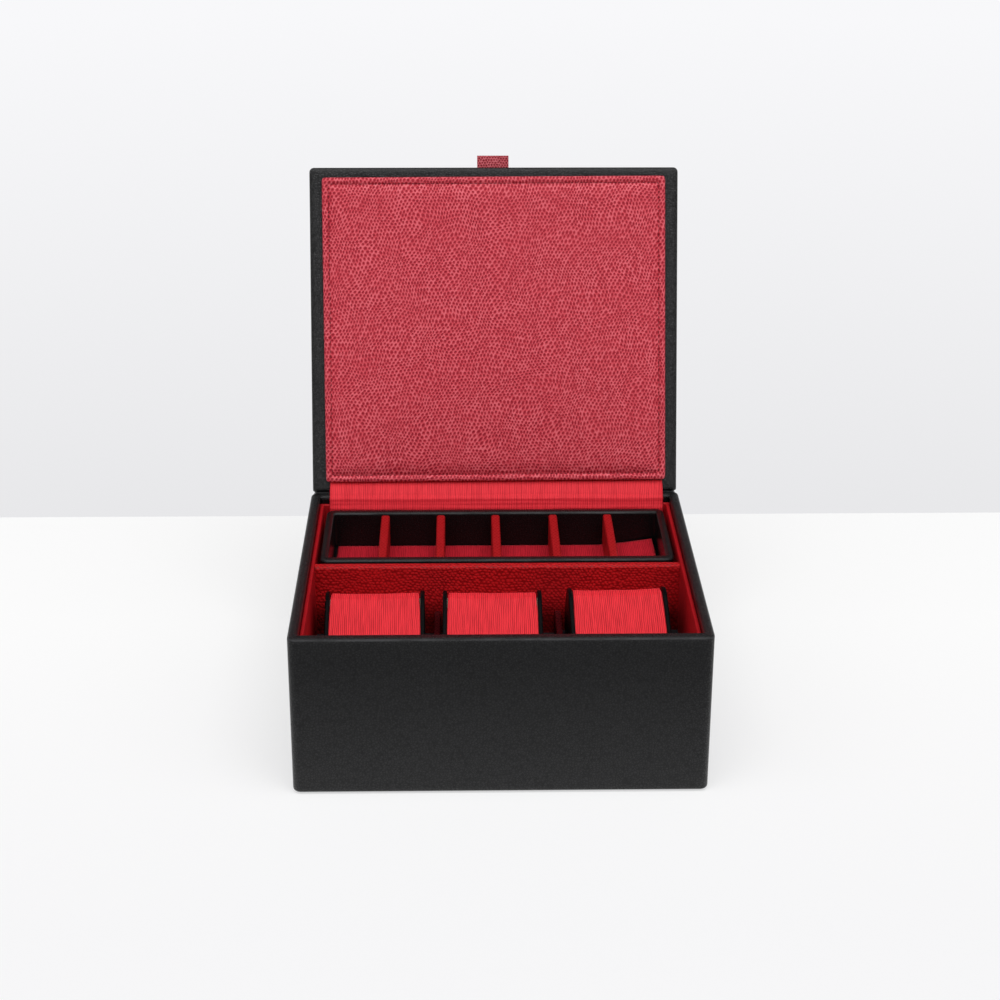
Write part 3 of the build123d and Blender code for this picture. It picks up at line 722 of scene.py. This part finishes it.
def makePad(look):
    halfX, halfY = look["halfWidth"], (look["high"] - look["low"]) / 2
    fieldX, fieldY = halfX - look["band"], halfY - look["band"]
    countX, countY = round(2 * fieldX / look["spacing"]), round(2 * fieldY / look["spacing"])
    points, flatPlace = [], []

    def addPoint(x, y, z, turned=0.0):
        # turned is how far the hide has run on round the edge, past where it would end if flat
        points.append(onPad(x, y, z, look) * mm)
        flatPlace.append((x * (1 + turned / halfX) * mm, y * (1 + turned / halfY) * mm))
        return len(points) - 1

    fieldHeight = padHeight(look["band"], look)
    grid = [
        [
            addPoint(-fieldX + 2 * fieldX * i / countX, -fieldY + 2 * fieldY * j / countY, fieldHeight)
            for i in range(countX + 1)
        ]
        for j in range(countY + 1)
    ]
    faces = [
        (grid[j][i], grid[j][i + 1], grid[j + 1][i + 1], grid[j + 1][i])
        for j in range(countY)
        for i in range(countX)
    ]
    rim = (
        [(i, 0) for i in range(countX)]
        + [(countX, j) for j in range(countY)]
        + [(i, countY) for i in range(countX, 0, -1)]
        + [(0, j) for j in range(countY, 0, -1)]
    )
    ring = [grid[j][i] for i, j in rim]
    insets = [5.6, 4.9, 4.4, 4.1, 3.85, 3.6, 3.35, 3.1, 2.8, 2.3, 1.8, 1.3, 0.9, 0.55, 0.3, 0.12, 0.0]
    sideRun = (math.pi / 2 - 1) * look["round"] + look["edgeTop"] - look["round"] - look["back"]
    foot = look["back"] + look["clear"]
    backShare = 0.985  # the leather's turned-under edge, as a share of the pad's size
    held = {}
    for inset in insets + ["foot", "back"]:
        depth = 0.0 if inset in ("foot", "back") else inset
        reachX, reachY = halfX - depth, halfY - depth
        corner = max(look["cornerRadius"] - depth, 0.15)
        nextRing = []
        for i, j in rim:
            x, y = reachX * (2 * i / countX - 1), reachY * (2 * j / countY - 1)
            overX, overY = abs(x) - (reachX - corner), abs(y) - (reachY - corner)
            if overX > 0 and overY > 0:
                shrink = corner / math.hypot(overX, overY) if math.hypot(overX, overY) > corner else 1.0
                x = math.copysign(reachX - corner + overX * shrink, x)
                y = math.copysign(reachY - corner + overY * shrink, y)
            if inset == "back":
                x, y, z, turned = x * backShare, y * backShare, foot, sideRun + 1.4
            elif inset == "foot":
                z, turned = foot, sideRun
            else:
                z, slide = padHeight(inset, look), max(look["round"] - inset, 0)
                turned = look["round"] * math.asin(slide / look["round"]) - slide
            nextRing.append(addPoint(x, y, z, turned))
        for k in range(len(ring)):
            m = (k + 1) % len(ring)
            faces.append((ring[m], ring[k], nextRing[k], nextRing[m]))
        if inset in ("foot", "back", 3.6, 0.0, 0.12, 0.3):
            held.update({index: 1.0 for index in nextRing})
        ring = nextRing
    back = dict(zip(rim, ring))
    for j in range(1, countY):
        for i in range(1, countX):
            x, y = halfX * (2 * i / countX - 1), halfY * (2 * j / countY - 1)
            back[i, j] = addPoint(backShare * x, backShare * y, foot)
            held[back[i, j]] = 1.0
    faces += [
        (back[i, j], back[i, j + 1], back[i + 1, j + 1], back[i + 1, j])
        for j in range(countY)
        for i in range(countX)
    ]
    corners = [[flatPlace[index] for index in face] for face in faces]
    piece = buildPiece("lidPad", points, faces, corners, padLizard, "hide")
    puffUp(piece, held, look["swell"] * mm, air)
    subdivide(piece)
    # the seam pulls the leather down at each stitch and lets it rise between them
    origin = onPad(0, 0, 0, look)
    acrossPad, upPad, outPad = (onPad(*way, look) - origin for way in ((1, 0, 0), (0, 1, 0), (0, 0, 1)))
    where = readPoints(piece.data)
    for i, spot in enumerate(where):
        local = Vector(spot) / mm - origin
        x, y, z = local.dot(acrossPad), local.dot(upPad), local.dot(outPad)
        if z < look["edgeTop"] - look["round"]:
            continue
        inset = min(halfX - abs(x), halfY - abs(y))
        run = y if halfX - abs(x) < halfY - abs(y) else x
        near = math.exp(-(((inset - look["seam"]) / look["seamReach"]) ** 2))
        pucker = look["pucker"] * math.cos(2 * math.pi * run / look["stitchPitch"]) * near
        lump = look["lumps"][0] * noise.noise(Vector((x * 0.06, y * 0.06, 3.0)))
        lump += look["lumps"][1] * near * noise.noise(Vector((x * 0.25, y * 0.25, 8.0)))
        where[i] = spot + np.array(outPad) * (pucker + lump) * mm
    writePoints(piece.data, where)
    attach(piece, "lid")
    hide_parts("lid_pad")
    print("lid pad made:", len(piece.data.polygons), "faces")


makePad(pad)


# Sewing thread: bonded polyester, a tight twist with a dull shine
def sewingThread(name, high, low):
    material, add, shader = startMaterial(name, {"Specular IOR Level": 0.35, "Sheen Weight": 0.1})
    place = inMillimetres(add)
    twist = add(
        "TexWave", {"Vector": place, "Scale": 1.1, "Distortion": 1.5, "Detail": 1.0}, bands_direction="DIAGONAL"
    )
    colour = add("Mix", {0: twist.outputs["Fac"], 6: low, 7: high}, data_type="RGBA")
    rough = add("MapRange", {"Value": twist.outputs["Fac"], "To": (0.65, 0.5)})
    bump = add("Bump", {"Height": twist.outputs["Fac"], "Distance": 0.05 * mm})
    feed(shader, {"Base Color": colour, "Roughness": rough, "Normal": bump})
    return material


padThread = sewingThread("padThread", "#8a1626", "#4d0712")


def stitchTree(material):
    tree = bpy.data.node_groups.new("stitchRun", "GeometryNodeTree")
    face = tree.interface
    face.new_socket("Seam", in_out="INPUT", socket_type="NodeSocketGeometry")
    for label in ("Pitch", "Length", "Thickness"):
        face.new_socket(label, in_out="INPUT", socket_type="NodeSocketFloat")
    face.new_socket("Seed", in_out="INPUT", socket_type="NodeSocketInt")
    face.new_socket("Stitches", in_out="OUTPUT", socket_type="NodeSocketGeometry")
    add = nodeAdder(tree)
    given = add("NodeGroupInput").outputs
    spaced = add("GeometryNodeCurveToPoints", {"Curve": given["Seam"], "Length": given["Pitch"]}, mode="LENGTH")
    bead = add("GeometryNodeMeshUVSphere", {"Segments": 8, "Rings": 7, "Radius": 0.5})
    jitter = add(
        "FunctionNodeRandomValue",
        {"Min": (-0.05, -0.05, -0.09), "Max": (0.05, 0.05, 0.09), "Seed": given["Seed"]},
        data_type="FLOAT_VECTOR",
    )
    lie = add("FunctionNodeRotateRotation", {0: spaced.outputs["Rotation"], 1: jitter})
    size = add("CombineXYZ", {0: given["Thickness"], 1: given["Thickness"], 2: given["Length"]})
    placed = add(
        "GeometryNodeInstanceOnPoints",
        {"Points": spaced.outputs["Points"], "Instance": bead.outputs["Mesh"], "Rotation": lie, "Scale": size},
    )
    real = add("GeometryNodeRealizeInstances", {0: placed})
    smooth = add("GeometryNodeSetShadeSmooth", {0: real})
    dyed = add("GeometryNodeSetMaterial", {0: smooth, "Material": material})
    add("NodeGroupOutput", {"Stitches": dyed})
    return tree


def sewSeam(name, seamPoints, tree, values):
    path = bpy.data.curves.new(name, "CURVE")
    path.dimensions = "3D"
    line = path.splines.new("POLY")
    line.points.add(len(seamPoints) - 1)
    for point, place in zip(line.points, seamPoints):
        point.co = (*place, 1.0)
    line.use_cyclic_u = True
    guide = addObject(name + "_guide", path)
    sew = guide.modifiers.new("sew", "NODES")
    sew.node_group = tree
    for item in tree.interface.items_tree:
        if item.in_out == "INPUT" and item.name in values:
            sew[item.identifier] = values[item.name]
    mesh = finalMesh(guide)
    bpy.data.objects.remove(guide)
    return addObject(name, mesh)


def padSeam(look):
    # the sewn line, a rounded rectangle just above the bottom of the channel
    halfX, halfY = look["halfWidth"] - look["seam"], (look["high"] - look["low"]) / 2 - look["seam"]
    radius, lift = 1.6, padHeight(look["seam"], look) + 0.1
    seamPoints = []
    for cornerX, cornerY, begin in (
        (halfX - radius, radius - halfY, -90),
        (halfX - radius, halfY - radius, 0),
        (radius - halfX, halfY - radius, 90),
        (radius - halfX, radius - halfY, 180),
    ):
        for step in range(7):
            turn = math.radians(begin + 15 * step)
            x, y = cornerX + radius * math.cos(turn), cornerY + radius * math.sin(turn)
            seamPoints.append(onPad(x, y, lift, look) * mm)
    return seamPoints


stitches = sewSeam(
    "padStitches",
    padSeam(pad),
    stitchTree(padThread),
    {
        "Pitch": pad["stitchPitch"] * mm,
        "Length": pad["stitchLength"] * mm,
        "Thickness": pad["stitchThickness"] * mm,
        "Seed": 4,
    },
)
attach(stitches, "lid")
print("pad sewn with", len(stitches.data.polygons), "faces of thread")


def doubleFaces(rows, columns):
    # the faces of a sheet: a front and a back layer of (rows + 1) by (columns + 1) points, closed round the edge
    size = (rows + 1) * (columns + 1)
    faces = []
    for i in range(rows):
        for j in range(columns):
            a = i * (columns + 1) + j
            quad = (a, a + 1, a + columns + 2, a + columns + 1)
            faces.append(quad)
            faces.append(tuple(size + k for k in reversed(quad)))
    edge = (
        [(0, j) for j in range(columns)]
        + [(i, columns) for i in range(rows)]
        + [(rows, j) for j in range(columns, 0, -1)]
        + [(i, 0) for i in range(rows, 0, -1)]
    )
    loop = [i * (columns + 1) + j for i, j in edge]
    for k in range(len(loop)):
        m = (k + 1) % len(loop)
        faces.append((loop[m], loop[k], loop[k] + size, loop[m] + size))
    return faces


def sweepProfile(name, profile, look, material, seed=0.0):
    # a strip that follows a profile of (y, z) points, as wide as twice halfWidth, with a thickness
    halfWidth, columns = look["halfWidth"], look["columns"]
    lengths = [0.0]
    for (y0, z0), (y1, z1) in zip(profile, profile[1:]):
        lengths.append(lengths[-1] + math.hypot(y1 - y0, z1 - z0))
    sides = []
    for i in range(len(profile)):
        (y0, z0), (y1, z1) = profile[max(i - 1, 0)], profile[min(i + 1, len(profile) - 1)]
        run = math.hypot(y1 - y0, z1 - z0)
        sides.append(((z1 - z0) / run, -(y1 - y0) / run))
    points, flatPlace = [], []
    rows = len(profile)
    for layer in (0.5, -0.5):
        for i in range(rows):
            for j in range(columns + 1):
                x = -halfWidth + 2 * halfWidth * j / columns
                slack = look["ripple"] * math.sin(math.pi * i / (rows - 1))
                sag = slack * noise.noise(Vector((x * 0.05, i * 0.1, seed)))
                for crease in look["creases"]:
                    at = crease + 0.8 * noise.noise(Vector((x * 0.02, crease, seed)))
                    sag -= look["creaseDepth"] * math.exp(-(((lengths[i] - at) / look["creaseWidth"]) ** 2))
                off = look["thickness"] * layer + sag
                y, z = profile[i][0] + sides[i][0] * off, profile[i][1] + sides[i][1] * off
                points.append(Vector((look["middle"] + x, y, z)) * mm)
                flatPlace.append((x * mm, lengths[i] * mm))
    faces = doubleFaces(rows - 1, columns)
    corners = [[flatPlace[index] for index in face] for face in faces]
    return buildPiece(name, points, faces, corners, material, "cloth"), lengths[-1]


def roundCorners(corners, radii, steps=6, spacing=0.55):
    # a polyline with each inner corner turned on an arc, and short even runs between
    turned = [Vector(corners[0])]
    for i in range(1, len(corners) - 1):
        before, at, after = (Vector(corners[k]) for k in (i - 1, i, i + 1))
        into, out = (before - at).normalized(), (after - at).normalized()
        half = into.angle(out) / 2
        reach = radii[i - 1] / math.tan(half)
        middle = at + (into + out).normalized() * radii[i - 1] / math.sin(half)
        first, last = at + into * reach - middle, at + out * reach - middle
        sweep = math.atan2(first.x * last.y - first.y * last.x, first.dot(last))
        for step in range(steps + 1):
            a = sweep * step / steps
            cosine, sine = math.cos(a), math.sin(a)
            turned.append(middle + Vector((first.x * cosine - first.y * sine, first.x * sine + first.y * cosine)))
    turned.append(Vector(corners[-1]))
    spaced = [turned[0]]
    for point in turned[1:]:
        last = spaced[-1]
        parts = max(1, round((point - last).length / spacing))
        spaced += [last.lerp(point, (k + 1) / parts) for k in range(parts)]
    return [(p.x, p.y) for p in spaced]


# Hinge strip: faille pulled tight from under the pad, over the rim's inner edge and down the rear liner
strip = {
    "middle": 0.8,
    "halfWidth": 91.1,
    "columns": 120,
    "thickness": 0.4,
    "ripple": 0.12,
    "lidEnd": (5.95, 0.3),
    "rimCorner": (82.3, 82.1),
    "linerCorner": (80.5, 77.0),
    "low": 62.0,
    "radii": (1.2, 0.8),
    "creases": (8.6, 12.6, 14.2),  # mm down from the pad
    "creaseDepth": 0.22,
    "creaseWidth": 0.55,
}
lidEnd = onLid(0, *strip["lidEnd"])
stripProfile = roundCorners(
    [(lidEnd.y, lidEnd.z), strip["rimCorner"], strip["linerCorner"], (strip["linerCorner"][0], strip["low"])],
    strip["radii"],
)
hingeStrip, stripLength = sweepProfile("hingeStrip", stripProfile, strip, stripSilk, seed=2.0)
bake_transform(hingeStrip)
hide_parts("hinge_strip")
print("hinge strip made")

# Hinge spine: calf glued down the rear wall, round the lid's hinge edge and up its back
spine = {
    "middle": 0.0,
    "halfWidth": 99.7,
    "columns": 90,
    "thickness": 0.85,
    "ripple": 0.0,
    "creases": (),
    "low": 61.5,
    "up": 22.0,
    "lidBack": -7.15,
    "turn": 83.0,  # height at which it leaves the rear wall
    "radii": (0.9, 2.3),
    "caseFrom": 96.45,  # where the case's corner starts to turn, and its radius
    "caseRadius": 4.0,
    "lidFrom": 97.7,
    "lidRadius": 2.2,
    "foldCut": 1.7,
    "foldAt": 83.4,
    "foldReach": 1.7,
}
half = spine["thickness"] / 2 + 0.02
rearFace = lidPlace["hinge"][0] + half
spineCorners = [(rearFace, spine["low"]), (rearFace, spine["turn"])]
for y, z in ((-half, spine["lidBack"] - half), (spine["up"], spine["lidBack"] - half)):
    place = onLid(0, y, z)
    spineCorners.append((place.y, place.z))
spineProfile = roundCorners(spineCorners, spine["radii"])
hingeSpine = sweepProfile("hingeSpine", spineProfile, spine, caseCalf)[0]


def roundedDrop(points, start, radius):
    # how far the ends of the spine fall away round an edge that starts to turn at a distance from the middle
    past = np.clip(np.abs(points[:, 0]) / mm - start, 0, None)
    return radius - np.sqrt(radius**2 - past**2)


# below the hinge its ends follow the case's rounded rear corners
where = readPoints(hingeSpine.data)
drop = roundedDrop(where, spine["caseFrom"], spine["caseRadius"])
where[:, 1] -= drop * mm * np.clip((84.0 - where[:, 2] / mm) / 2.5, 0, 1)
# and above it they follow the lid's rounded sides
drop = roundedDrop(where, spine["lidFrom"], spine["lidRadius"])
inward = np.array(onLid(0, 0, 1) - onLid(0, 0, 0))
where += (drop * mm * np.clip((where[:, 2] / mm - 83.0) / 1.5, 0, 1))[:, None] * inward
# the ends are cut in a little where the spine folds
fold = spine["foldCut"] * np.exp(-(((where[:, 2] / mm - spine["foldAt"]) / spine["foldReach"]) ** 2))
where[:, 0] -= np.sign(where[:, 0]) * fold * mm * np.clip((np.abs(where[:, 0]) / mm - 90) / 9.7, 0, 1)
writePoints(hingeSpine.data, where)
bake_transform(hingeSpine)
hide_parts("hinge_spine")
print("hinge spine made")

# Tray lining: a loose strip of faille on the tray's floor, short at the left and curled at the right rear corner
trayLining = {
    "width": 172.6,
    "depth": 56.2,
    "left": -85.6,
    "front": 17.1,
    "level": 57.95,
    "thickness": 0.5,
    "columns": 116,
    "rows": 38,
    "curl": 4.3,
    "curlReach": (34.0, 60.0),  # mm from the corner, across and front to back
    "curlPower": 1.4,
    "drawnIn": (1.6, 1.5),  # mm that the curled corner comes in
}


def makeTrayLining(look):
    columns, rows = look["columns"], look["rows"]
    points, flatPlace = [], []
    for layer in (0.5, -0.5):
        for j in range(rows + 1):
            for i in range(columns + 1):
                x = look["left"] + look["width"] * i / columns
                y = look["front"] + look["depth"] * j / rows
                acrossShare = max(0.0, 1 - (look["left"] + look["width"] - x) / look["curlReach"][0])
                backShare = max(0.0, 1 - (look["front"] + look["depth"] - y) / look["curlReach"][1])
                near = acrossShare ** look["curlPower"] * backShare ** look["curlPower"]
                height = look["level"] + look["curl"] * near + layer * look["thickness"]
                points.append(Vector((x - look["drawnIn"][0] * near, y - look["drawnIn"][1] * near, height)) * mm)
                flatPlace.append((x * mm, y * mm))
    faces = doubleFaces(rows, columns)
    corners = [[flatPlace[index] for index in face] for face in faces]
    piece = buildPiece("trayLining", points, faces, corners, trayLiningSilk, "cloth")
    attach(piece, "tray")
    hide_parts("tray_lining")


makeTrayLining(trayLining)
print("tray lining laid")

# A white table whose far edge crosses behind the box, in front of a pale wall
stage = {
    "tableEdge": 0.25,
    "tableDepth": 0.03,
    # the table is painted a shade paler towards the back, painted light
    "table": "#f8f8f9",
    "tableFar": "#fdfdfd",
    "tableTurns": (-0.2, 0.1),  # metres from front to back between which the one becomes the other
    "wallLow": "#e7e7e9",
    "wallHigh": "#f8f8fa",
    "wallTurns": (-0.4, -0.16),  # how steeply down the camera looks where the wall is dark, and pale
    "fill": 0.16,  # even light from all round
    "overexposed": 0.58,  # how far the camera sees the table washed out towards white
    # how bright reflections see the studio, where 1 is the backdrop's own white
    "mirrored": {"screens": 1.0, "sideways": 0.28, "ahead": 0.14, "behindCamera": 0.86},
    "screensFrom": (0.14, 0.5),  # how far to the side the screens start, and are full
    "screensTo": (0.6, 0.9),
}


def makeStage(look):
    material, add, shader = startMaterial("whiteTable", {"Roughness": 0.8, "Specular IOR Level": 0.0})
    split = add("SeparateXYZ", {0: add("TexCoord").outputs["Object"]})
    # the table's colour is painted paler towards the back, painted light
    distance = add("MapRange", {"Value": split.outputs[1], "From": look["tableTurns"]})
    top = add("Mix", {0: distance, 6: look["table"], 7: look["tableFar"]}, data_type="RGBA")
    feed(shader, {"Base Color": top})
    glare = add("Emission", {"Color": top})
    path = add("LightPath")
    looked = add("Math", {0: path.outputs["Is Camera Ray"], 1: path.outputs["Is Glossy Ray"]}, operation="MAXIMUM")
    share = add("Math", {0: looked, 1: look["overexposed"]}, operation="MULTIPLY")
    washed = add("MixShader", {0: share, 1: shader, 2: glare})
    feed(material.node_tree.get_output_node("ALL"), {"Surface": washed})
    edge, ground = look["tableEdge"], -0.2 * mm
    points = [(-3, -3, ground), (3, -3, ground), (3, edge, ground), (-3, edge, ground)]
    points += [(x, y, ground - look["tableDepth"]) for x, y, _ in points]
    faces = [(0, 1, 2, 3), (7, 6, 5, 4), (0, 4, 5, 1), (1, 5, 6, 2), (2, 6, 7, 3), (3, 7, 4, 0)]
    mesh = bpy.data.meshes.new("table")
    mesh.from_pydata(points, [], faces)
    mesh.materials.append(material)
    table = addObject("table", mesh)
    world = bpy.data.worlds.new("studio")
    scene.world = world
    world.use_nodes = True
    world.node_tree.nodes.clear()
    add = nodeAdder(world.node_tree)
    rise = add("SeparateXYZ", {0: add("TexCoord").outputs["Generated"]})
    up = add("MapRange", {"Value": rise.outputs[2], "From": look["wallTurns"]})
    wall = add("Mix", {0: up, 6: look["wallLow"], 7: look["wallHigh"]}, data_type="RGBA")
    seen = add("Background", {"Color": wall, "Strength": 1.0})
    lit = add("Background", {"Color": (1.0, 1.0, 1.0, 1.0), "Strength": look["fill"]})
    path = add("LightPath")
    shown = add(
        "Math", {0: path.outputs["Is Camera Ray"], 1: path.outputs["Is Transmission Ray"]}, operation="MAXIMUM"
    )
    # reflections see a studio no brighter than the backdrop: white screens ahead on each side, dim straight ahead
    mirrored = look["mirrored"]
    outward = add("Math", {0: rise.outputs[0]}, operation="ABSOLUTE")
    screens = add("MapRange", {"Value": outward, "From": look["screensFrom"]}, interpolation_type="SMOOTHSTEP")
    sideways = add(
        "MapRange", {"Value": outward, "From": look["screensTo"], "To": (mirrored["screens"], mirrored["sideways"])}
    )
    middle = add(
        "MapRange",
        {"Value": rise.outputs[1], "From": (-0.5, 0.5), "To": (mirrored["behindCamera"], mirrored["ahead"])},
    )
    studio = add("Mix", {0: screens, 2: middle, 3: sideways})
    reflected = add("Background", {"Color": look["wallHigh"], "Strength": studio})
    indoors = add("MixShader", {0: path.outputs["Is Glossy Ray"], 1: lit, 2: reflected})
    add("OutputWorld", {"Surface": add("MixShader", {0: shown, 1: indoors, 2: seen})})


makeStage(stage)

# One large soft light overhead, a little in front, and a weaker one on each side
lamps = {
    "overhead": {"from": (0.03, -0.38, 0.92), "strength": 2.13, "spread": 60},
    "left": {"from": (-0.65, -0.35, 0.68), "strength": 0.46, "spread": 50},
    "right": {"from": (0.65, -0.35, 0.68), "strength": 0.41, "spread": 50},
}
for name, lamp in lamps.items():
    data = bpy.data.lights.new(name, "SUN")
    data.angle = math.radians(lamp["spread"])
    data.energy = lamp["strength"]
    light = addObject(name, data)
    light.location = Vector(lamp["from"]) * 2
    light.rotation_euler = Vector(lamp["from"]).to_track_quat("Z", "Y").to_euler()

scene.view_settings.view_transform = "Standard"
print("stage and lamps placed")
